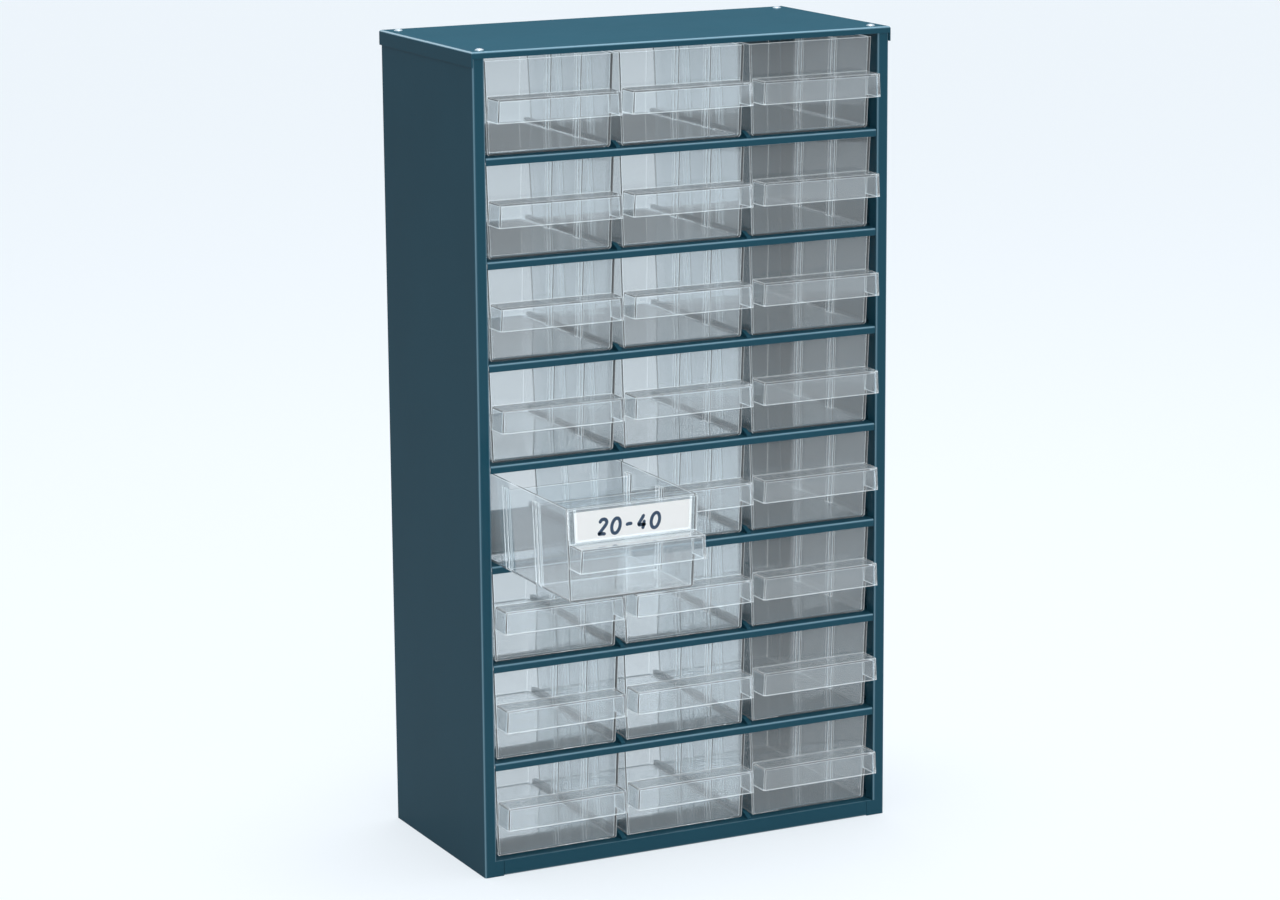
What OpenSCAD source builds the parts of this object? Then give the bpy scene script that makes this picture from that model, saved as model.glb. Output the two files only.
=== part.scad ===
// Small-parts cabinet: a folded sheet-steel case with eight rows of three
// clear plastic drawers. One drawer stands pulled out, with two dividers and a
// label holder. Millimetres, X to the right, Y to the back, Z up. The origin is
// the middle of the face that the cabinet stands on.

/* [Case] */
// Width over the side panels
cabinet_w = 306; // [250:1:370]
// Depth from the front flanges to the rear flanges
cabinet_d = 150; // [120:1:190]
// Height to the top of the cover
cabinet_h = 552; // [455:1:670]
// Thickness of the steel sheet
sheet_t = 0.8; // [0.6:0.05:1.2]
// Outer radius of a bend in the sheet
bend_r = 1.6; // [1.3:0.1:2.2]
// Width of the side panels' front flanges
post_w = 8.5; // [7:0.5:12]
// Width of the side panels' rear flanges
rear_flange_w = 34; // [20:1:45]
// Depth of the front flange's return into the case
post_return = 10.5; // [6:0.5:14]
// Width of the side panel's foot inside the front flange
foot_w = 5.2; // [3:0.2:8]
// Seam between the foot and the plinth
plinth_seam = 0.3; // [0.2:0.1:0.6]
// Height of the plinth below the lowest drawers
plinth_h = 10.5; // [8:0.5:16]

/* [Cover] */
// Height of the cover's side and rear flanges
cover_side_h = 10; // [6:0.5:16]
// Height of the cover's front flange
cover_front_h = 4.5; // [3:0.5:7]
// Width of the side panels' top flange under the cover
cover_seat_w = 17; // [14:1:24]

/* [Shelves] */
// Rows of drawers
rows = 8; // [5:1:8]
// Columns of drawers
columns = 3; // [2:1:3]
// Height of a shelf's front and end flanges
shelf_flange_h = 5; // [3.5:0.5:8]
// Height of a shelf's rear flange, which stops the drawers below it
shelf_rear_h = 26; // [16:1:36]
// Extra height of the top row's window
top_window_extra = 2; // [0:0.5:5]
// Gap between the ends of a shelf's flanges and the side panels' flanges
shelf_end_gap = 0.4; // [0.2:0.1:1]
// Width of the guide strip between two columns
guide_w = 3; // [2:0.5:4.5]
// Height of the guide strip
guide_h = 4; // [2.5:0.5:6]
// Distance of the guide strip's nose behind the shelf's front edge
guide_setback = 2.5; // [1:0.5:6]
// Length of the slope on the guide strip's nose
guide_nose = 7; // [3:1:12]

/* [Drawers] */
// Distance of the drawer fronts behind the front flanges
drawer_recess = 6; // [3:0.5:12]
// Gap between two drawers' rims
drawer_gap = 3.9; // [2.5:0.1:6]
// Gap between a drawer's rim and the shelf flange above it
drawer_top_gap = 0.5; // [0.4:0.1:2]
// Running clearance under a drawer
drawer_lift = 0.3; // [0.2:0.05:0.5]
// Gap between a closed drawer and the rear flanges
drawer_rear_gap = 1; // [0.5:0.5:6]
// Thickness of the drawer's walls and floor
wall_t = 1.5; // [1.1:0.1:2.2]
// Draft of each side wall from the rim to the floor
side_draft = 2.3; // [0:0.1:3]
// Draft of the front and rear walls
end_draft = 0.8; // [0:0.1:2]
// Outer radius along the bottom edges
drawer_edge_r = 2.6; // [2.3:0.1:4]

/* [Pull] */
// Height of the pull's lower edge above the drawer's underside
pull_z = 22.9; // [14:0.1:28]
// Height of the pull
pull_h = 15.7; // [10:0.1:20]
// Depth of the pull in front of the drawer
pull_d = 16.5; // [10:0.5:22]
// Distance of the pull's ends inside the drawer's rim
pull_inset = 1.9; // [1:0.1:4]
// Flare of each end of the pull towards its lower edge
pull_flare = 0.7; // [0:0.1:1.5]

/* [Dividers] */
// Number of compartments that the slots allow
compartments = 3; // [3:1:5]
// Thickness of a divider
divider_t = 1.3; // [1:0.1:1.6]
// Clearance of a divider in its slot, each side
divider_gap = 0.25; // [0.15:0.05:0.4]
// Height that a rib stands out of the side wall
rib_t = 1.6; // [1:0.1:2.5]
// Width of each of the two ribs beside a slot
rib_w = 3.4; // [2:0.2:5]
// Distance of the ribs' upper end below the rim
rib_top_gap = 5; // [2:0.5:10]
// Distance of a divider's upper edge below the rim
divider_top_gap = 7; // [3:0.5:12]

/* [Open drawer] */
// Row of the open drawer, counted from the top
open_row = 5; // [1:1:5]
// Column of the open drawer, counted from the left
open_column = 1; // [1:1:2]
// Length of it that stays on its shelf
open_keep = 26.2; // [26.2:0.1:80]

/* [Label] */
// Distance of the label holder's ends inside the drawer's sides
holder_margin = 0.5; // [0.3:0.1:2]
// Distance of the label holder's upper edge below the rim
holder_top_gap = 0.7; // [0.3:0.1:1.5]
// Thickness of the label holder's back and lips
holder_t = 0.9; // [0.6:0.1:1.3]
// Thickness of the label holder's floor
holder_floor_t = 0.9; // [0.6:0.1:1.5]
// Distance of the card's ends inside the drawer's sides
card_margin = 4.4; // [3.5:0.1:12]
// Distance of the card's upper edge below the rim
card_top_gap = 2.7; // [1.5:0.1:5]
// Thickness of the label card
card_t = 0.3; // [0.2:0.05:0.5]
// Clearance around the label card
card_gap = 0.1; // [0.05:0.05:0.2]
// Width that the holder's lips overlap the card
lip_overlap = 1.2; // [0.8:0.1:2.5]

/* [Rivets] */
// Diameter of a rivet's shank
rivet_d = 3.2; // [2.4:0.1:4]
// Diameter of a rivet's head
rivet_head_d = 6; // [5:0.2:8]
// Height of a rivet's head
rivet_head_h = 1.1; // [0.8:0.1:1.8]
// Length of the shank behind the sheets
rivet_tail = 1.2; // [0.8:0.1:2]
// Diameter of the set end of a rivet
rivet_tail_d = 4.6; // [4.2:0.1:5]
// Clearance of the shank in its hole
rivet_gap = 0.05; // [0.05:0.01:0.15]
// Distance of the cover's rivets from the case's outer faces
rivet_inset = 9; // [8:0.5:12]

/* [Hidden] */
steel_blue = "#2f566c";
side_blue = "#2b4b5e";
clear_plastic = [0.80, 0.86, 0.88, 0.45];
paper_white = "#f4f4f2";
rivet_grey = "#a8b0b6";

$fn = 48;
overshoot = 1;

half_w = cabinet_w / 2;
half_d = cabinet_d / 2;
inner_half_w = half_w - sheet_t;
opening_half_w = half_w - post_w;
inner_bend_r = bend_r - sheet_t;
cover_underside = cabinet_h - sheet_t;
// Where the side panels bend in under the cover
panel_top = cover_underside - bend_r;
// The front flanges' returns stop below the cover's rivets
return_top = panel_top - rivet_tail;

column_pitch = 2 * opening_half_w / columns;
window_top = cabinet_h - cover_front_h;
row_pitch = (window_top - top_window_extra + shelf_flange_h - plinth_h) / rows;
shelf_front = -half_d + sheet_t;

drawer_w = column_pitch - drawer_gap;
drawer_h = row_pitch - shelf_flange_h - drawer_top_gap - drawer_lift;
drawer_front = -half_d + drawer_recess;
drawer_d = half_d - sheet_t - drawer_rear_gap - drawer_front;
pull_top = pull_z + pull_h;
open_pull = drawer_d - open_keep;
slot_w = divider_t + 2 * divider_gap;
// Depth at which a drafted side starts inside the arc below it
arc_overlap = 0.01;

rivet_x = half_w - rivet_inset;
rivet_y = half_d - rivet_inset;

shelf_nodes = [for (row = [1:rows]) str("shelf_", row)];
drawer_nodes = [for (row = [1:rows]) for (column = [1:columns]) drawer_name(row, column)];

function drawer_name(row, column) = str("drawer_r", row, "c", column);
// Top face of the shelf that carries a row
function floor_z(row) = plinth_h + (rows - row) * row_pitch;
function column_x(column) = (column - (columns + 1) / 2) * column_pitch;
// Outer half width of a drawer at a height above its underside
function side_x(z) = drawer_w / 2 - side_draft * (1 - z / drawer_h);
// Middle of a divider slot, behind the drawer's front
function slot_y(index) = wall_t + index * (drawer_d - 2 * wall_t) / compartments;

// Rectangle from one corner to the other, with round corners
module rounded_rect(low, high, r) {
    size = high - low;
    translate(low + [r, 0]) square([size.x - 2 * r, size.y]);
    translate(low + [0, r]) square([size.x, size.y - 2 * r]);
    for (x = [low.x + r, high.x - r], y = [low.y + r, high.y - r])
        translate([x, y]) circle(r);
}

// Outline of a sheet folded into a closed rectangle
module folded_ring(low, high) {
    difference() {
        rounded_rect(low, high, bend_r);
        rounded_rect(low + [sheet_t, sheet_t], high - [sheet_t, sheet_t], inner_bend_r);
    }
}

// Extrudes an outline drawn in Y and Z along X, from -half_length to half_length
module along_x(half_length) {
    rotate([90, 0, 90]) translate([0, 0, -half_length]) linear_extrude(2 * half_length) children();
}

// Extrudes an outline drawn in X and Z along Y, from y0 to y1
module along_y(y0, y1) {
    translate([0, y1, 0]) rotate([90, 0, 0]) linear_extrude(y1 - y0) children();
}

// Plan of the right side panel: front flange folded back to return_d, skin, rear flange
module side_plan(inner_x, return_d) {
    rear_x = half_w - rear_flange_w;
    difference() {
        folded_ring([inner_x, -half_d], [half_w, half_d]);
        translate([inner_x - overshoot, -half_d + return_d])
            square([opening_half_w + bend_r - inner_x + overshoot, cabinet_d]);
        translate([inner_x - overshoot, 0]) square([cabinet_w, cabinet_d]);
    }
    intersection() {
        folded_ring([rear_x - bend_r, -half_d], [half_w, half_d]);
        translate([rear_x, 0]) square([rear_flange_w, half_d]);
    }
}

// Plan of its foot, where the front flange runs further in and has no return
module foot_plan() {
    fold_x = opening_half_w - foot_w - bend_r;
    difference() {
        side_plan(fold_x, sheet_t);
        translate([fold_x - overshoot, -half_d - overshoot]) square([bend_r + overshoot, half_d]);
    }
}

// Front view of its top flange, which bends in under the cover
module seat_section() {
    intersection() {
        folded_ring([-half_w, 0], [half_w, cover_underside]);
        translate([half_w - cover_seat_w, panel_top]) square([cover_seat_w, bend_r]);
    }
}

module rivet_holes() {
    for (x = [-rivet_x, rivet_x], y = [-rivet_y, rivet_y])
        translate([x, y, cabinet_h - 4 * sheet_t])
            cylinder(h = 5 * sheet_t, d = rivet_d + 2 * rivet_gap);
}

// Domed head on z = 0, shank through the sheets below it and its set end
module rivet() {
    dome_r = (rivet_head_d * rivet_head_d / 4 + rivet_head_h * rivet_head_h) / (2 * rivet_head_h);
    intersection() {
        translate([0, 0, rivet_head_h - dome_r]) sphere(dome_r, $fn = 96);
        cylinder(h = rivet_head_h, d = rivet_head_d);
    }
    translate([0, 0, -2 * sheet_t]) cylinder(h = 2 * sheet_t, d = rivet_d);
    translate([0, 0, -2 * sheet_t - rivet_tail]) cylinder(h = rivet_tail, d = rivet_tail_d);
}

module side_panel() {
    difference() {
        union() {
            translate([0, 0, plinth_h])
                linear_extrude(panel_top - plinth_h) side_plan(opening_half_w, post_return);
            linear_extrude(plinth_h) foot_plan();
            along_y(-half_d + bend_r, half_d - bend_r) seat_section();
        }
        // Leaves room for the cover's rivets above the front return
        translate([opening_half_w - overshoot, -half_d + bend_r, return_top])
            cube([overshoot + bend_r, post_return, panel_top + inner_bend_r / 2 - return_top]);
        rivet_holes();
    }
}

module side_panel_left() {
    color(side_blue) mirror([1, 0, 0]) side_panel();
}

module side_panel_right() {
    color(side_blue) side_panel();
}

// Block of the cover's outer or inner shape, its upper edges rounded
module cover_block(inset, r) {
    x = half_w + sheet_t - inset;
    y = half_d + sheet_t - inset;
    low = cabinet_h - cover_side_h - 2 * bend_r;
    intersection() {
        along_y(-y, y) rounded_rect([-x, low], [x, cabinet_h - inset], r);
        along_x(x) rounded_rect([-y, low], [y, cabinet_h - inset], r);
    }
}

module top_cover() {
    color(steel_blue) difference() {
        cover_block(0, bend_r);
        cover_block(sheet_t, inner_bend_r);
        // Opens the underside
        translate([-cabinet_w, -cabinet_d, cabinet_h - 3 * cover_side_h])
            cube([2 * cabinet_w, 2 * cabinet_d, 2 * cover_side_h]);
        // Shortens the front flange between the side flanges
        translate([-half_w, -half_d - bend_r, window_top - cover_side_h])
            cube([cabinet_w, bend_r + overshoot, cover_side_h]);
        rivet_holes();
    }
}

// Flat bottom with flanges turned up on four sides
module base_tray() {
    plinth_half_w = opening_half_w - foot_w - plinth_seam;
    notch_w = inner_half_w - plinth_half_w;
    rear_y = half_d - sheet_t;
    // The lowest shelf's flanges come down to these
    flange_z = plinth_h - shelf_flange_h - shelf_end_gap;
    color(steel_blue) {
        difference() {
            along_x(inner_half_w) intersection() {
                folded_ring([-half_d, 0], [rear_y, 2 * plinth_h]);
                translate([-half_d, 0]) square([rear_y + half_d, plinth_h]);
            }
            // Leaves only the plinth in the plane of the front flanges
            for (side = [-1, 1])
                translate([side * (plinth_half_w + notch_w / 2), -half_d, plinth_h / 2])
                    cube([notch_w, 2 * bend_r, 2 * plinth_h], center = true);
            translate([-half_w, rear_y - bend_r, flange_z])
                cube([cabinet_w, bend_r + overshoot, plinth_h]);
            // Clears the bends of the side panels' rear flanges
            for (side = [-1, 1])
                translate([side * inner_half_w, rear_y, plinth_h / 2])
                    cube([2 * inner_bend_r, 2 * inner_bend_r, 2 * plinth_h], center = true);
        }
        for (side = [-1, 1])
            translate([side * (inner_half_w - sheet_t / 2), 0, flange_z / 2])
                cube([sheet_t, cabinet_d - 2 * post_return, flange_z], center = true);
    }
}

// Tray turned down on four sides, narrower between the side panels' flanges. Its rear
// flange is deep, except on the lowest row
module shelf(row) {
    front_half_w = opening_half_w - shelf_end_gap;
    rear_half_w = half_w - rear_flange_w - shelf_end_gap;
    front_notch_d = post_return + shelf_end_gap;
    rear_h = row < rows ? shelf_rear_h : shelf_flange_h;
    color(steel_blue) translate([0, 0, floor_z(row)]) {
        difference() {
            along_x(inner_half_w) intersection() {
                folded_ring([shelf_front, -2 * shelf_rear_h], [half_d, 0]);
                union() {
                    translate([shelf_front, -shelf_flange_h]) square([half_d, shelf_flange_h]);
                    translate([0, -rear_h]) square([half_d, rear_h]);
                }
            }
            for (side = [-1, 1]) {
                shelf_notch(side, front_half_w, -half_d, front_notch_d);
                shelf_notch(side, rear_half_w, half_d, bend_r);
            }
        }
        for (side = [-1, 1])
            translate([side * (inner_half_w - sheet_t / 2), 0, -shelf_flange_h / 2])
                cube([sheet_t, 2 * (half_d - front_notch_d), shelf_flange_h], center = true);
    }
}

// Clears a side panel's flange at the corner of a shelf, from inner_x outwards
module shelf_notch(side, inner_x, edge_y, depth) {
    notch_w = inner_half_w - inner_x;
    translate([side * (inner_x + notch_w / 2), edge_y, 0])
        cube([notch_w, 2 * depth, 4 * shelf_rear_h], center = true);
}

// Strip with a sloping nose, standing on a shelf between two columns
module guide() {
    front = shelf_front + guide_setback;
    rear = half_d - bend_r - guide_setback;
    along_x(guide_w / 2) polygon([
        [front, 0],
        [rear, 0],
        [rear, guide_h],
        [front + guide_nose, guide_h],
        [front, guide_h / 4]
    ]);
}

module drawer_guides() {
    color(steel_blue)
        for (row = [1:rows], column = [1:columns - 1])
            translate([column_x(column) + column_pitch / 2, 0, floor_z(row)]) guide();
}

// Outline that widens upwards by the same slope on both sides, round at the bottom.
// low and high are [half width, height]
module drafted_outline(low, high, r) {
    slope = (high.x - low.x) / (high.y - low.y);
    stretch = sqrt(1 + slope * slope);
    arc_x = low.x + r * (slope - stretch);
    side = [arc_x + r / stretch - arc_overlap, low.y + r - r * slope / stretch];
    polygon([
        [-arc_x, low.y],
        [arc_x, low.y],
        side,
        high,
        [-high.x, high.y],
        [-side.x, side.y]
    ]);
    for (x = [-arc_x, arc_x])
        translate([x, low.y + r]) circle(r);
}

// Solid with the drawer's outer shape, or its inner shape where inset is the wall
module drawer_block(inset, z0, z1, r) {
    middle = drawer_d / 2;
    end_y = function(z) middle - end_draft * (1 - z / drawer_h) - inset;
    intersection() {
        along_y(0, drawer_d)
            drafted_outline([side_x(z0) - inset, z0], [side_x(z1) - inset, z1], r);
        translate([0, middle, 0]) along_x(drawer_w)
            drafted_outline([end_y(z0), z0], [end_y(z1), z1], r);
    }
}

// Two ribs with a slot between them, on the right side wall
module slot_ribs(y) {
    z0 = wall_t / 2;
    z1 = drawer_h - rib_top_gap;
    root = wall_t / 2;
    face = wall_t + rib_t;
    for (side = [-1, 1]) {
        rib_y = y + side * (slot_w + rib_w) / 2;
        along_y(rib_y - rib_w / 2, rib_y + rib_w / 2) polygon([
            [side_x(z0) - root, z0],
            [side_x(z1) - root, z1],
            [side_x(z1) - face, z1],
            [side_x(z0) - face, z0]
        ]);
    }
}

// Box-shaped pull across the front, open underneath
module pull() {
    top_half_w = drawer_w / 2 - pull_inset - pull_flare;
    low_half_w = top_half_w + pull_flare;
    difference() {
        along_y(-pull_d, wall_t / 2) polygon([
            [-low_half_w, pull_z],
            [low_half_w, pull_z],
            [top_half_w, pull_top],
            [-top_half_w, pull_top]
        ]);
        along_y(-pull_d + wall_t, wall_t) polygon([
            [wall_t - low_half_w, pull_z - overshoot],
            [low_half_w - wall_t, pull_z - overshoot],
            [top_half_w - wall_t, pull_top - wall_t],
            [wall_t - top_half_w, pull_top - wall_t]
        ]);
    }
}

// Drawer with its front's rim on y = 0 and its underside on z = 0
module drawer() {
    color(clear_plastic) {
        difference() {
            drawer_block(0, 0, drawer_h, drawer_edge_r);
            drawer_block(wall_t, wall_t, drawer_h + overshoot, drawer_edge_r - wall_t);
        }
        for (index = [1:compartments - 1]) {
            slot_ribs(slot_y(index));
            mirror([1, 0, 0]) slot_ribs(slot_y(index));
        }
        pull();
    }
}

// Moves a piece from the drawer's own frame to its place in the cabinet
module in_drawer(row, column) {
    is_open = row == open_row && column == open_column;
    pulled = is_open ? open_pull : 0;
    translate([column_x(column), drawer_front - pulled, floor_z(row) + drawer_lift]) children();
}

module divider(index) {
    z1 = drawer_h - divider_top_gap;
    inset = wall_t + divider_gap;
    y = slot_y(index);
    color(clear_plastic) along_y(y - divider_t / 2, y + divider_t / 2)
        drafted_outline([side_x(wall_t) - inset, wall_t], [side_x(z1) - inset, z1], drawer_edge_r);
}

// Front view of a plate above the pull, margin inside the drawer's drafted sides
module front_plate(margin, z0, z1) {
    polygon([
        [margin - side_x(z0), z0],
        [side_x(z0) - margin, z0],
        [side_x(z1) - margin, z1],
        [margin - side_x(z1), z1]
    ]);
}

// Pocket that stands on the pull against the drawer's front, open at the top
module label_holder() {
    top = drawer_h - holder_top_gap;
    card_y = -holder_t;
    lip_y = card_y - card_t - 2 * card_gap;
    card_z = pull_top + holder_floor_t - card_gap;
    window_z = pull_top + holder_floor_t + lip_overlap;
    color(clear_plastic) difference() {
        along_y(lip_y - holder_t, 0) front_plate(holder_margin, pull_top, top);
        along_y(lip_y, card_y) front_plate(card_margin - card_gap, card_z, top + overshoot);
        along_y(lip_y - holder_t - overshoot, lip_y)
            front_plate(card_margin + lip_overlap, window_z, top + overshoot);
    }
}

module label_card() {
    y = -holder_t - card_gap;
    color(paper_white) along_y(y - card_t, y)
        front_plate(card_margin, pull_top + holder_floor_t, drawer_h - card_top_gap);
}

module cover_rivets() {
    color(rivet_grey)
        for (x = [-rivet_x, rivet_x], y = [-rivet_y, rivet_y])
            translate([x, y, cabinet_h]) rivet();
}

side_panel_left();
side_panel_right();
top_cover();
base_tray();
cover_rivets();
for (row = [1:rows])
    shelf(row);
drawer_guides();
for (row = [1:rows], column = [1:columns])
    in_drawer(row, column) drawer();
in_drawer(open_row, open_column) divider(1);  // divider_front
in_drawer(open_row, open_column) divider(2);  // divider_rear
in_drawer(open_row, open_column) label_holder();
in_drawer(open_row, open_column) label_card();
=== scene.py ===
"""Looks of a small-parts cabinet: petrol-blue folded steel, clear moulded drawers, a
hand-lettered card. Lettering, floor and lamps are placed from the boxes of the imported
parts, and the camera looks at the case's front face. Lengths are in metres."""

import math

import bmesh
import bpy
from mathutils import Matrix, Vector


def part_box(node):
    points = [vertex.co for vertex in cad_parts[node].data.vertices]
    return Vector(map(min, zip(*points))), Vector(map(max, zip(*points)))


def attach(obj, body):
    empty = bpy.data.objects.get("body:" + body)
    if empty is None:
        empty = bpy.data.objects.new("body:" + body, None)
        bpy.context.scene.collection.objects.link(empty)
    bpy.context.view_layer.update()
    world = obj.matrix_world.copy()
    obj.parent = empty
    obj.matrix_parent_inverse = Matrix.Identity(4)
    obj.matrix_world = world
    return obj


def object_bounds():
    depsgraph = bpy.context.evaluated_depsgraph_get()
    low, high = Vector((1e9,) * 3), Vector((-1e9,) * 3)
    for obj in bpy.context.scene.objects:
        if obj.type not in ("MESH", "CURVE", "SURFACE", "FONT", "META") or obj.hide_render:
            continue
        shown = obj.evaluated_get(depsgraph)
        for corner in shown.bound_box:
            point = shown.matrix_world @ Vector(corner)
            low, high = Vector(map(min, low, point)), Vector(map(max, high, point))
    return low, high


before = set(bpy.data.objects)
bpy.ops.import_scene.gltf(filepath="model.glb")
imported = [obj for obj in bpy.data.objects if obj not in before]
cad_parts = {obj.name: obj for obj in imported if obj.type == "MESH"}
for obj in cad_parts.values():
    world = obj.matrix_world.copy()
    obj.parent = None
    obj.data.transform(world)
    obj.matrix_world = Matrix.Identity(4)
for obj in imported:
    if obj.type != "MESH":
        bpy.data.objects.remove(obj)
cad_low, cad_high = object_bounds()

MM = 0.001

DRAWERS = sorted(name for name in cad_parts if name.startswith("drawer_r"))
SHELVES = sorted(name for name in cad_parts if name.startswith("shelf_"))
BLUE_SHEETS = ["side_panel_left", "side_panel_right", "top_cover", "base_tray"] + SHELVES
OPEN_DRAWER = "drawer_r5c1"

# The case's front face and the top of its cover
front_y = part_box("side_panel_left")[0].y
top_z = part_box("top_cover")[1].z


def linear(red, green, blue):
    """Scene-linear colour of an 8-bit screen colour."""

    def channel(value):
        value /= 255
        return value / 12.92 if value <= 0.04045 else ((value + 0.055) / 1.055) ** 2.4

    return (channel(red), channel(green), channel(blue), 1.0)


def scaled(colour, factor):
    """A lighter or darker colour, with its alpha left at 1."""
    return tuple(min(1.0, factor * value) for value in colour[:3]) + (1.0,)


PETROL = linear(34, 77, 93)
# Lighter petrol on rubbed edges: partly worn paint, partly a painted highlight
PETROL_WORN_AND_HIGHLIGHT = linear(74, 112, 130)
# Pale petrol painted into the folds as a highlight
PETROL_BEND_HIGHLIGHT = linear(118, 156, 174)
DUST_GREY = linear(176, 186, 192)
STUDIO_GREY = linear(212, 218, 223)
RIVET_ZINC = linear(172, 182, 188)
RIVET_DULL = linear(128, 138, 146)
CLEAR = (0.955, 0.985, 1.0, 1.0)
CLEAR_DIM = (0.935, 0.97, 0.985, 1.0)
CLEAR_PASSING = (0.98, 0.985, 0.986, 1.0)
# Painted glow: pale light that the plastic's edges emit
PAINTED_EDGE_GLOW = linear(214, 226, 232)
UNLIT = (0.0, 0.0, 0.0, 1.0)
CARD_WHITE = linear(252, 252, 251)
CARD_SHADE = linear(247, 247, 245)
INK_BLUE = linear(32, 52, 74)
INK_THIN = linear(58, 84, 110)


# ---------------------------------------------------------------- node helpers


def add_node(tree, kind, **settings):
    """A new node; settings are attributes, or input sockets where a name matches one."""
    node = tree.nodes.new(kind)
    for name, value in settings.items():
        if hasattr(node, name):
            setattr(node, name, value)
        else:
            node.inputs[name.replace("_", " ")].default_value = value
    return node


def wire(tree, source, target):
    """Links an output socket to an input socket."""
    tree.links.new(source, target)


def new_group(name, inputs, outputs):
    """An empty node group with float inputs {name: default} and outputs {name: type}."""
    group = bpy.data.node_groups.new(name, "ShaderNodeTree")
    for label, default in inputs.items():
        socket = group.interface.new_socket(label, in_out="INPUT", socket_type="NodeSocketFloat")
        socket.default_value = default
    for label, kind in outputs.items():
        group.interface.new_socket(label, in_out="OUTPUT", socket_type=kind)
    return group, group.nodes.new("NodeGroupInput"), group.nodes.new("NodeGroupOutput")


def place_group(tree, group, **values):
    """A shared effect in a material, with its inputs set by name."""
    node = tree.nodes.new("ShaderNodeGroup")
    node.node_tree = group
    for name, value in values.items():
        node.inputs[name.replace("_", " ")].default_value = value
    return node


def maths(tree, operation, first, second=None, third=None):
    """A math node's output; each operand is a number or a socket."""
    node = tree.nodes.new("ShaderNodeMath")
    node.operation = operation
    for index, value in enumerate((first, second, third)):
        if value is None:
            continue
        if isinstance(value, (int, float)):
            node.inputs[index].default_value = value
        else:
            wire(tree, value, node.inputs[index])
    return node.outputs[0]


def mix_colours(tree, factor, first, second):
    """A mix of two colours; each is a tuple or a socket."""
    node = tree.nodes.new("ShaderNodeMix")
    node.data_type = "RGBA"
    wire(tree, factor, node.inputs["Factor"])
    # The mix node has a pair of inputs for each data type; its colours are numbers 6 and 7
    for socket, value in ((node.inputs[6], first), (node.inputs[7], second)):
        if isinstance(value, tuple):
            socket.default_value = value
        else:
            wire(tree, value, socket)
    return node.outputs[2]


def noise(tree, vector, scale, detail, roughness):
    """Noise between 0 and 1; scale is in features per metre."""
    node = add_node(tree, "ShaderNodeTexNoise", Scale=scale, Detail=detail, Roughness=roughness)
    wire(tree, vector, node.inputs["Vector"])
    return node.outputs["Fac"]


def new_material(name):
    """A material with its Principled shader on the output."""
    material = bpy.data.materials.new(name)
    material.use_nodes = True
    tree = material.node_tree
    shader = tree.nodes["Principled BSDF"]
    return material, tree, shader


# ------------------------------------------------------------- shared effects


def make_surface_grain():
    """Height of a fine moulded or sprayed skin, and a slow blotch over the whole piece."""
    group, inlet, outlet = new_group(
        "surface_grain",
        {"Grain Size": 0.001, "Blotch Size": 0.06},
        {"Height": "NodeSocketFloat", "Blotch": "NodeSocketFloat"},
    )
    place = add_node(group, "ShaderNodeTexCoord").outputs["Object"]
    fine = add_node(group, "ShaderNodeTexNoise", Detail=2.0, Roughness=0.55)
    slow = add_node(group, "ShaderNodeTexNoise", Detail=3.0, Roughness=0.5)
    for node, label in ((fine, "Grain Size"), (slow, "Blotch Size")):
        wire(group, place, node.inputs["Vector"])
        wire(group, maths(group, "DIVIDE", 1.0, inlet.outputs[label]), node.inputs["Scale"])
    wire(group, fine.outputs["Fac"], outlet.inputs["Height"])
    wire(group, slow.outputs["Fac"], outlet.inputs["Blotch"])
    return group


def make_edge_masks():
    """Masks of the edges: one whole, which drives the clear plastic's painted glow, and one broken
    up where the finish is rubbed, which the enamel uses for wear together with a painted highlight.
    """
    group, inlet, outlet = new_group(
        "edge_masks",
        {"Width": 0.0006, "Amount": 1.0},
        {"Whole": "NodeSocketFloat", "Rubbed And Highlight": "NodeSocketFloat"},
    )
    geometry = add_node(group, "ShaderNodeNewGeometry")
    bevel = add_node(group, "ShaderNodeBevel", samples=4)
    wire(group, inlet.outputs["Width"], bevel.inputs["Radius"])
    dot = add_node(group, "ShaderNodeVectorMath", operation="DOT_PRODUCT")
    wire(group, bevel.outputs["Normal"], dot.inputs[0])
    wire(group, geometry.outputs["Normal"], dot.inputs[1])
    edge = maths(group, "SUBTRACT", 1.0, dot.outputs["Value"])
    clamp = add_node(group, "ShaderNodeClamp")
    wire(group, maths(group, "MULTIPLY", edge, inlet.outputs["Amount"]), clamp.inputs["Value"])
    place = add_node(group, "ShaderNodeTexCoord").outputs["Object"]
    breaks = noise(group, place, scale=220.0, detail=4.0, roughness=0.7)
    broken = maths(group, "MULTIPLY", clamp.outputs["Result"], breaks)
    wire(group, clamp.outputs["Result"], outlet.inputs["Whole"])
    wire(group, broken, outlet.inputs["Rubbed And Highlight"])
    return group


def make_dust():
    """Mask of dust that settles on upward faces."""
    group, inlet, outlet = new_group("dust", {"Amount": 0.1}, {"Mask": "NodeSocketFloat"})
    geometry = add_node(group, "ShaderNodeNewGeometry")
    upward = add_node(group, "ShaderNodeSeparateXYZ")
    wire(group, geometry.outputs["Normal"], upward.inputs[0])
    place = add_node(group, "ShaderNodeTexCoord").outputs["Object"]
    patches = noise(group, place, scale=60.0, detail=5.0, roughness=0.65)
    lying = maths(group, "MULTIPLY", maths(group, "MAXIMUM", upward.outputs["Z"], 0.0), patches)
    wire(group, maths(group, "MULTIPLY", lying, inlet.outputs["Amount"]), outlet.inputs["Mask"])
    return group


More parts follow.
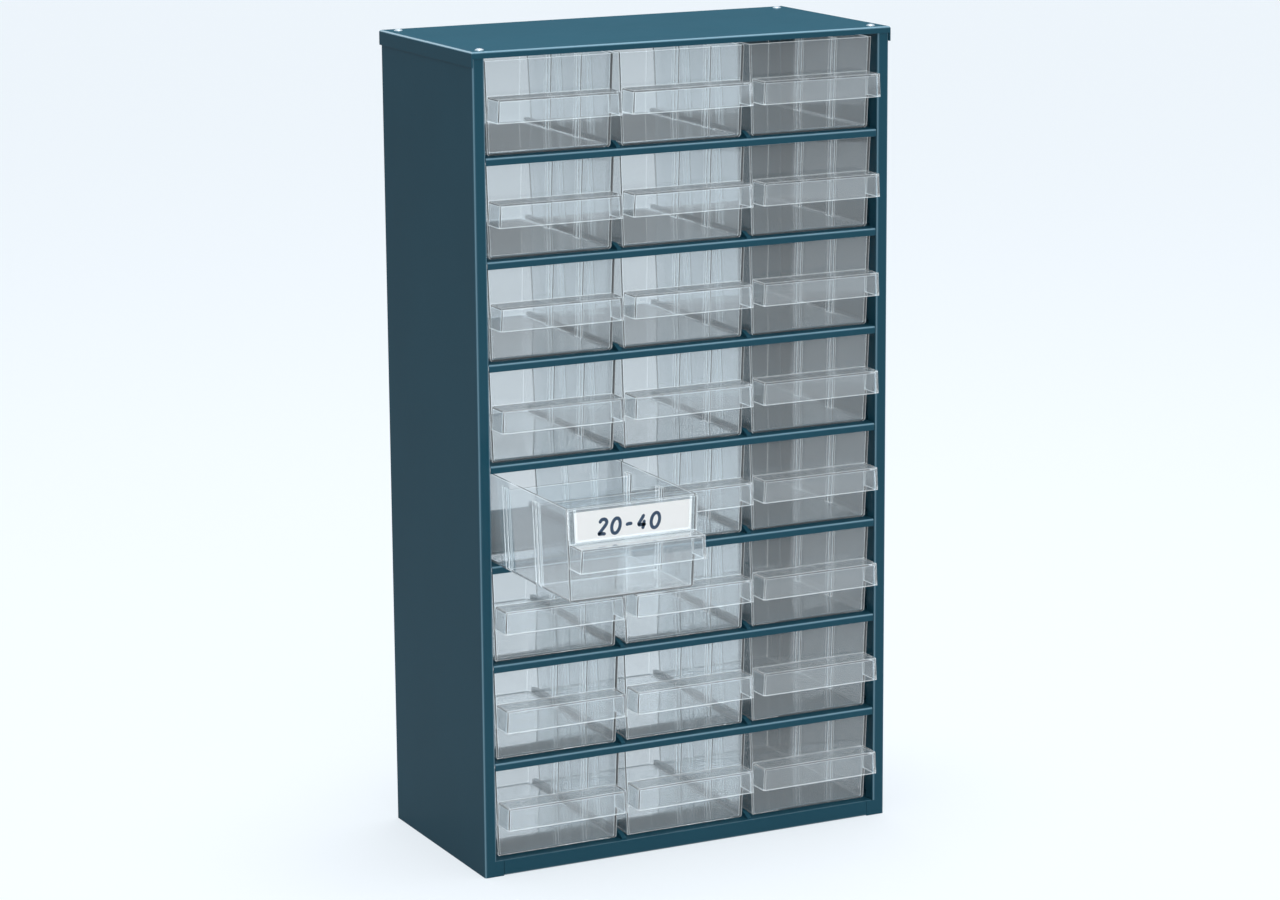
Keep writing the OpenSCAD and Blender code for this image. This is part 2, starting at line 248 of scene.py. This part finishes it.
def make_sheet_bends():
    """Mask of the rounded bends: every flat of the folded sheets faces along an axis."""
    # How fast the mask rises as a face turns away from its axis
    gain = 5.0
    group, inlet, outlet = new_group("sheet_bends", {"Amount": 1.0}, {"Mask": "NodeSocketFloat"})
    facing = add_node(group, "ShaderNodeVectorMath", operation="ABSOLUTE")
    wire(group, add_node(group, "ShaderNodeNewGeometry").outputs["Normal"], facing.inputs[0])
    parts = add_node(group, "ShaderNodeSeparateXYZ")
    wire(group, facing.outputs["Vector"], parts.inputs[0])
    widest = maths(group, "MAXIMUM", parts.outputs["X"], parts.outputs["Y"])
    widest = maths(group, "MAXIMUM", widest, parts.outputs["Z"])
    clamp = add_node(group, "ShaderNodeClamp")
    wire(group, maths(group, "MULTIPLY_ADD", widest, -gain, gain), clamp.inputs["Value"])
    mask = maths(group, "MULTIPLY", clamp.outputs["Result"], inlet.outputs["Amount"])
    wire(group, mask, outlet.inputs["Mask"])
    return group


GRAIN = make_surface_grain()
EDGE_MASKS = make_edge_masks()
DUST = make_dust()
BENDS = make_sheet_bends()


def add_bump(tree, shader, height, distance, strength=1.0):
    """Raises a shader's surface by a height mask."""
    bump = add_node(tree, "ShaderNodeBump", Strength=strength, Distance=distance)
    wire(tree, height, bump.inputs["Height"])
    wire(tree, bump.outputs["Normal"], shader.inputs["Normal"])


# ------------------------------------------------------------------ materials


PAINT_ROUGHNESS = 0.36
PAINT_SPREAD = 0.16
PAINT_COAT = 0.3
BEND_HIGHLIGHT_SHARE = 0.75


def make_paint(name, edge_rub_and_highlight, bends):
    """Enamel on sheet steel. Its edges are lighter where the paint is rubbed, partly real wear and
    partly a painted highlight; its folds get a painted highlight, a lighter colour, and a stronger
    coat.
    """
    material, tree, shader = new_material(name)
    grain = place_group(tree, GRAIN, Grain_Size=0.0011, Blotch_Size=0.09)
    edges = place_group(tree, EDGE_MASKS, Width=0.0007, Amount=edge_rub_and_highlight)
    dust = place_group(tree, DUST, Amount=0.015)
    cloudy = mix_colours(tree, grain.outputs["Blotch"], scaled(PETROL, 0.90), scaled(PETROL, 1.10))
    # Painted highlight: the folds are lightened towards a pale petrol in place of the shine on the
    # bends; their coat is raised too
    bent = place_group(tree, BENDS, Amount=bends)
    bend_highlight_mask = maths(tree, "MULTIPLY", bent.outputs["Mask"], BEND_HIGHLIGHT_SHARE)
    bend_highlighted = mix_colours(tree, bend_highlight_mask, cloudy, PETROL_BEND_HIGHLIGHT)
    # Rubbed edges: partly worn paint, partly a painted highlight along the edges
    rubbed_and_highlighted = mix_colours(tree, edges.outputs["Rubbed And Highlight"], bend_highlighted, PETROL_WORN_AND_HIGHLIGHT)
    dusty = mix_colours(tree, dust.outputs["Mask"], rubbed_and_highlighted, DUST_GREY)
    wire(tree, dusty, shader.inputs["Base Color"])
    smoothest = PAINT_ROUGHNESS - PAINT_SPREAD / 2
    spread = maths(tree, "MULTIPLY_ADD", grain.outputs["Blotch"], PAINT_SPREAD, smoothest)
    wire(tree, spread, shader.inputs["Roughness"])
    shader.inputs["Specular IOR Level"].default_value = 0.0
    coat = maths(tree, "MULTIPLY_ADD", bent.outputs["Mask"], 1.0 - PAINT_COAT, PAINT_COAT)
    wire(tree, coat, shader.inputs["Coat Weight"])
    shader.inputs["Coat Roughness"].default_value = 0.1
    add_bump(tree, shader, grain.outputs["Height"], distance=0.00003, strength=0.6)
    return material


def make_rivet_metal():
    """Dull zinc-coated rivet with a fine grain."""
    material, tree, shader = new_material("rivet_zinc")
    grain = place_group(tree, GRAIN, Grain_Size=0.0004, Blotch_Size=0.004)
    tint = mix_colours(tree, grain.outputs["Blotch"], RIVET_DULL, RIVET_ZINC)
    wire(tree, tint, shader.inputs["Base Color"])
    shader.inputs["Metallic"].default_value = 0.85
    smoothest = 0.28
    spread = 0.2
    scratched = maths(tree, "MULTIPLY_ADD", grain.outputs["Height"], spread, smoothest)
    wire(tree, scratched, shader.inputs["Roughness"])
    add_bump(tree, shader, grain.outputs["Height"], distance=0.00002)
    return material


PLASTIC_ROUGHNESS = 0.03
PLASTIC_SPREAD = 0.04
# Strength of the painted glow at the plastic's edges
EDGE_GLOW_STRENGTH = 0.42


def make_clear_plastic(name, haze):
    """Clear moulded plastic, a little milky by its haze, with a weak painted glow at its edges.
    Shadow and diffuse rays pass straight through it, so what is inside stays lit."""
    material, tree, shader = new_material(name)
    grain = place_group(tree, GRAIN, Grain_Size=0.004, Blotch_Size=0.03)
    tint = mix_colours(tree, grain.outputs["Blotch"], CLEAR_DIM, CLEAR)
    wire(tree, tint, shader.inputs["Base Color"])
    smoothest = PLASTIC_ROUGHNESS - PLASTIC_SPREAD / 2
    scuffs = maths(tree, "MULTIPLY_ADD", grain.outputs["Blotch"], PLASTIC_SPREAD, smoothest)
    wire(tree, scuffs, shader.inputs["Roughness"])
    shader.inputs["IOR"].default_value = 1.5
    shader.inputs["Transmission Weight"].default_value = 1.0 - haze
    # Painted glow: the edges emit a pale light, though the plastic is no lamp
    edges = place_group(tree, EDGE_MASKS, Width=0.001, Amount=14.0)
    painted_edge_glow = mix_colours(tree, edges.outputs["Whole"], UNLIT, PAINTED_EDGE_GLOW)
    wire(tree, painted_edge_glow, shader.inputs["Emission Color"])
    shader.inputs["Emission Strength"].default_value = EDGE_GLOW_STRENGTH
    add_bump(tree, shader, grain.outputs["Height"], distance=0.000008, strength=0.15)
    passing = add_node(tree, "ShaderNodeBsdfTransparent", Color=CLEAR_PASSING)
    rays = add_node(tree, "ShaderNodeLightPath")
    straight = maths(tree, "MAXIMUM", rays.outputs["Is Shadow Ray"], rays.outputs["Is Diffuse Ray"])
    both = add_node(tree, "ShaderNodeMixShader")
    wire(tree, straight, both.inputs[0])
    wire(tree, shader.outputs["BSDF"], both.inputs[1])
    wire(tree, passing.outputs["BSDF"], both.inputs[2])
    wire(tree, both.outputs["Shader"], tree.nodes["Material Output"].inputs["Surface"])
    return material


def make_card():
    """Stiff white card with short fibres."""
    material, tree, shader = new_material("label_card_paper")
    grain = place_group(tree, GRAIN, Grain_Size=0.0005, Blotch_Size=0.012)
    tone = mix_colours(tree, grain.outputs["Blotch"], CARD_SHADE, CARD_WHITE)
    wire(tree, tone, shader.inputs["Base Color"])
    shader.inputs["Roughness"].default_value = 0.75
    add_bump(tree, shader, grain.outputs["Height"], distance=0.00004)
    return material


def make_ink():
    """Marker ink, a little thinner in places."""
    material, tree, shader = new_material("marker_ink")
    grain = place_group(tree, GRAIN, Grain_Size=0.0004, Blotch_Size=0.004)
    tone = mix_colours(tree, grain.outputs["Blotch"], INK_BLUE, INK_THIN)
    wire(tree, tone, shader.inputs["Base Color"])
    shader.inputs["Roughness"].default_value = 0.5
    add_bump(tree, shader, grain.outputs["Height"], distance=0.00001)
    return material


PAINT = make_paint("petrol_enamel", edge_rub_and_highlight=0.9, bends=1.0)
# The guides' sloping noses face along no axis and aren't bends
GUIDE_PAINT = make_paint("guide_enamel", edge_rub_and_highlight=0.6, bends=0.0)
RIVET = make_rivet_metal()
DRAWER_PLASTIC = make_clear_plastic("clear_drawer_plastic", haze=0.07)
INSERT_PLASTIC = make_clear_plastic("clear_insert_plastic", haze=0.02)
CARD = make_card()
INK = make_ink()


def dress(node, material):
    """Gives a CAD node its material."""
    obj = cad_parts[node]
    obj.data.materials.clear()
    obj.data.materials.append(material)


for sheet in BLUE_SHEETS:
    dress(sheet, PAINT)
dress("drawer_guides", GUIDE_PAINT)
dress("cover_rivets", RIVET)
for drawer in DRAWERS:
    dress(drawer, DRAWER_PLASTIC)
for insert in ("divider_front", "divider_rear", "label_holder"):
    dress(insert, INSERT_PLASTIC)
dress("label_card", CARD)


# ------------------------------------------------------------- card lettering

PEN_WIDTH = 2.4 * MM
LETTER_HEIGHT = 9.6 * MM
LETTER_WIDTH = 5.8 * MM
LETTER_STEP = 9.3 * MM
LETTER_SLANT = 0.26
# First letter's place as a share of the card's width, and the line's height above its edge
LETTER_START = 0.20
LETTER_BASE = 3.6 * MM
# How far the letters sway off the line, and how much the pen's width wavers
LETTER_SWAY = 0.25 * MM
SWAY_STEP = 5
PEN_WAVER = 0.06
WAVER_STEP = 9
# Narrowest end of a stroke, as a share of its half width
PEN_TIP = 0.35
INK_T = 0.03 * MM


def oval(middle_x, middle_y, half_x, half_y, count=14):
    """Points round a closed loop, in shares of a letter's width and height."""
    turns = [2 * math.pi * step / count for step in range(count)]
    return [(middle_x + half_x * math.cos(t), middle_y + half_y * math.sin(t)) for t in turns]


# Pen strokes of each character: (closed, points in shares of its width and height)
PEN_STROKES = {
    "0": [(True, oval(0.5, 0.5, 0.5, 0.5))],
    "2": [
        (False, [(0.04, 0.76), (0.26, 0.98), (0.70, 0.98), (0.92, 0.74), (0.56, 0.38), (0.04, 0.0)]),
        (False, [(0.04, 0.0), (0.50, 0.04), (1.0, 0.0)]),
    ],
    "4": [
        (False, [(0.62, 1.0), (0.30, 0.62), (0.0, 0.30)]),
        (False, [(0.0, 0.30), (0.50, 0.33), (1.0, 0.30)]),
        (False, [(0.74, 0.62), (0.70, 0.30), (0.66, 0.0)]),
    ],
    "-": [(False, [(0.1, 0.46), (0.5, 0.52), (0.9, 0.5)])],
}


def smooth_path(points, closed, parts=6):
    """Points along a curve through all the given points."""
    count = len(points)
    ends = range(count) if closed else range(count - 1)
    path = []
    for index in ends:
        before, start, end, after = (
            points[number % count] if closed else points[min(max(number, 0), count - 1)]
            for number in range(index - 1, index + 3)
        )
        for part in range(parts):
            t = part / parts
            path.append(
                tuple(
                    0.5 * (2 * s + (e - b) * t + (2 * b - 5 * s + 4 * e - a) * t * t
                           + (3 * s - b - 3 * e + a) * t ** 3)
                    for b, s, e, a in zip(before, start, end, after)
                )
            )
    return path if closed else path + [points[-1]]


def add_stroke(mesh, path, closed, ink_y):
    """A flat closed ribbon of ink along a path in X and Z, round at its ends."""
    path = [Vector(point) for point in path]
    lengths = [0.0]
    for before, after in zip(path, path[1:]):
        lengths.append(lengths[-1] + (after - before).length)
    radius = PEN_WIDTH / 2
    sections = []
    for index, point in enumerate(path):
        before = path[index - 1] if index or closed else point
        after = path[(index + 1) % len(path)] if index + 1 < len(path) or closed else point
        along = (after - before).normalized()
        across = Vector((-along.y, along.x))
        to_end = min(lengths[index], lengths[-1] - lengths[index])
        half = radius * (1 - PEN_WAVER + PEN_WAVER * math.sin(WAVER_STEP * index))
        if not closed and to_end < radius:
            half *= max(PEN_TIP, math.sqrt(1 - (1 - to_end / radius) ** 2))
        left, right = point + half * across, point - half * across
        sections.append(
            [
                mesh.verts.new((spot.x, y, spot.y))
                for y, spot in (
                    (ink_y, left),
                    (ink_y, right),
                    (ink_y + INK_T, right),
                    (ink_y + INK_T, left),
                )
            ]
        )
    pairs = list(zip(sections, sections[1:]))
    if closed:
        pairs.append((sections[-1], sections[0]))
    else:
        mesh.faces.new(sections[0])
        mesh.faces.new(reversed(sections[-1]))
    for first, second in pairs:
        for side in range(4):
            turn = (side + 1) % 4
            mesh.faces.new((first[side], second[side], second[turn], first[turn]))


def make_lettering(text):
    """Hand-written plain numerals on the front of the card."""
    low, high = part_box("label_card")
    start_x = low.x + LETTER_START * (high.x - low.x)
    base_z = low.z + LETTER_BASE
    mesh = bmesh.new()
    for place, character in enumerate(text):
        sway = LETTER_SWAY * math.sin(SWAY_STEP * place)
        for closed, points in PEN_STROKES[character]:
            spots = []
            for across, upward in points:
                x = start_x + place * LETTER_STEP + (across + LETTER_SLANT * upward) * LETTER_WIDTH
                spots.append((x, base_z + sway + upward * LETTER_HEIGHT))
            add_stroke(mesh, smooth_path(spots, closed), closed, low.y - INK_T)
    bmesh.ops.recalc_face_normals(mesh, faces=mesh.faces)
    data = bpy.data.meshes.new("card_numerals")
    mesh.to_mesh(data)
    mesh.free()
    data.materials.append(INK)
    numerals = bpy.data.objects.new("card_numerals", data)
    bpy.context.collection.objects.link(numerals)
    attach(numerals, OPEN_DRAWER)


make_lettering("20-40")


# ----------------------------------------------------------- studio and camera


# Strength of the world for mirrored and refracted rays, by the Z of their direction
HORIZON_Z = 0.165
SKY_Z = 0.24
HORIZON_STRENGTH = 0.18
SKY_STRENGTH = 2.4
# The floor's own shade, and its strength for each kind of ray. A refracted ray counts as
# mirrored too, so it gets the strengths of both.
FLOOR_SHADE = 0.27
FLOOR_SEEN = 0.98
FLOOR_MIRRORED = 0.45
FLOOR_REFRACTED = 0.13
FLOOR_HALF = 30.0
FLOOR_GAP = 0.2 * MM
# Lamps: place from the middle of the case's top front edge, size, and power in watts
KEY_LAMP = {"offset": (-0.3, -2.625, 0.598), "size": (1.8, 1.5), "watts": 30.0}
TOP_LAMP = {"offset": (0.1, 0.075, 2.048), "size": (0.9, 0.9), "watts": 50.0}
# Azimuth, elevation and roll of the camera in degrees, and the point of the front that it
# looks at
CAMERA_ANGLES = (-26.44, 12.488, -0.406)
CAMERA_AIM_X = -0.03572
CAMERA_AIM_Z = 0.28056
CAMERA_DISTANCE = 2.55741
SENSOR_MM = 36.0
LENS_MM = 108.26


def make_world():
    """Plain light for the object, with a brighter sky in what its surfaces mirror or show."""
    world = bpy.data.worlds.new("soft_studio")
    world.use_nodes = True
    tree = world.node_tree
    background = tree.nodes["Background"]
    background.inputs["Color"].default_value = STUDIO_GREY
    direction = add_node(tree, "ShaderNodeSeparateXYZ")
    wire(tree, add_node(tree, "ShaderNodeTexCoord").outputs["Generated"], direction.inputs[0])
    rising = add_node(
        tree,
        "ShaderNodeMapRange",
        From_Min=HORIZON_Z,
        From_Max=SKY_Z,
        To_Min=HORIZON_STRENGTH,
        To_Max=SKY_STRENGTH,
    )
    wire(tree, direction.outputs["Z"], rising.inputs["Value"])
    rays = add_node(tree, "ShaderNodeLightPath")
    seen = maths(tree, "MAXIMUM", rays.outputs["Is Glossy Ray"], rays.outputs["Is Transmission Ray"])
    # Inputs 2 and 3 are the mix node's pair of plain numbers
    strength = add_node(tree, "ShaderNodeMix", data_type="FLOAT")
    wire(tree, seen, strength.inputs[0])
    strength.inputs[2].default_value = 1.0
    wire(tree, rising.outputs[0], strength.inputs[3])
    wire(tree, strength.outputs[0], background.inputs["Strength"])
    bpy.context.scene.world = world


def make_floor():
    """A pale floor just under the case."""
    material, tree, shader = new_material("pale_floor")
    shader.inputs["Base Color"].default_value = scaled(STUDIO_GREY, FLOOR_SHADE)
    shader.inputs["Roughness"].default_value = 0.9
    shader.inputs["Emission Color"].default_value = STUDIO_GREY
    rays = add_node(tree, "ShaderNodeLightPath")
    direct = maths(tree, "MULTIPLY", rays.outputs["Is Camera Ray"], FLOOR_SEEN)
    mirrored = maths(tree, "MULTIPLY_ADD", rays.outputs["Is Glossy Ray"], FLOOR_MIRRORED, direct)
    refracted = rays.outputs["Is Transmission Ray"]
    seen = maths(tree, "MULTIPLY_ADD", refracted, FLOOR_REFRACTED, mirrored)
    wire(tree, seen, shader.inputs["Emission Strength"])
    mesh = bpy.data.meshes.new("floor")
    half = FLOOR_HALF
    corners = [(-half, -half, 0.0), (half, -half, 0.0), (half, half, 0.0), (-half, half, 0.0)]
    mesh.from_pydata(corners, [], [(0, 1, 2, 3)])
    mesh.materials.append(material)
    floor = bpy.data.objects.new("floor", mesh)
    floor.location.z = cad_low.z - FLOOR_GAP
    bpy.context.collection.objects.link(floor)


def add_lamp(name, aim, offset, size, watts):
    """A rectangular lamp that faces the aim."""
    place = Vector((0.0, front_y, top_z)) + Vector(offset)
    lamp = bpy.data.lights.new(name, "AREA")
    lamp.shape = "RECTANGLE"
    lamp.size, lamp.size_y = size
    lamp.energy = watts
    obj = bpy.data.objects.new(name, lamp)
    obj.location = place
    obj.rotation_mode = "QUATERNION"
    obj.rotation_quaternion = (place - aim).to_track_quat("Z", "Y")
    bpy.context.collection.objects.link(obj)


def make_camera():
    """The camera, turned by its angles and set back from the point that it looks at."""
    azimuth, elevation, roll = (math.radians(angle) for angle in CAMERA_ANGLES)
    back = Vector(
        (
            math.sin(azimuth) * math.cos(elevation),
            -math.cos(azimuth) * math.cos(elevation),
            math.sin(elevation),
        )
    )
    side = Vector((math.cos(azimuth), math.sin(azimuth), 0.0))
    up = back.cross(side)
    right = math.cos(roll) * side + math.sin(roll) * up
    top = -math.sin(roll) * side + math.cos(roll) * up
    data = bpy.data.cameras.new("camera")
    data.sensor_width = SENSOR_MM
    data.lens = LENS_MM
    data.clip_start, data.clip_end = 0.05, 100.0
    camera = bpy.data.objects.new("camera", data)
    turn = Matrix((right, top, back)).transposed().to_4x4()
    aim = Vector((CAMERA_AIM_X, front_y, CAMERA_AIM_Z))
    camera.matrix_world = Matrix.Translation(aim + CAMERA_DISTANCE * back) @ turn
    bpy.context.collection.objects.link(camera)
    bpy.context.scene.camera = camera


make_world()
make_floor()
middle = (cad_low + cad_high) / 2
add_lamp("key_lamp", middle, **KEY_LAMP)
add_lamp("top_lamp", middle, **TOP_LAMP)
make_camera()
bpy.context.scene.view_settings.view_transform = "Standard"
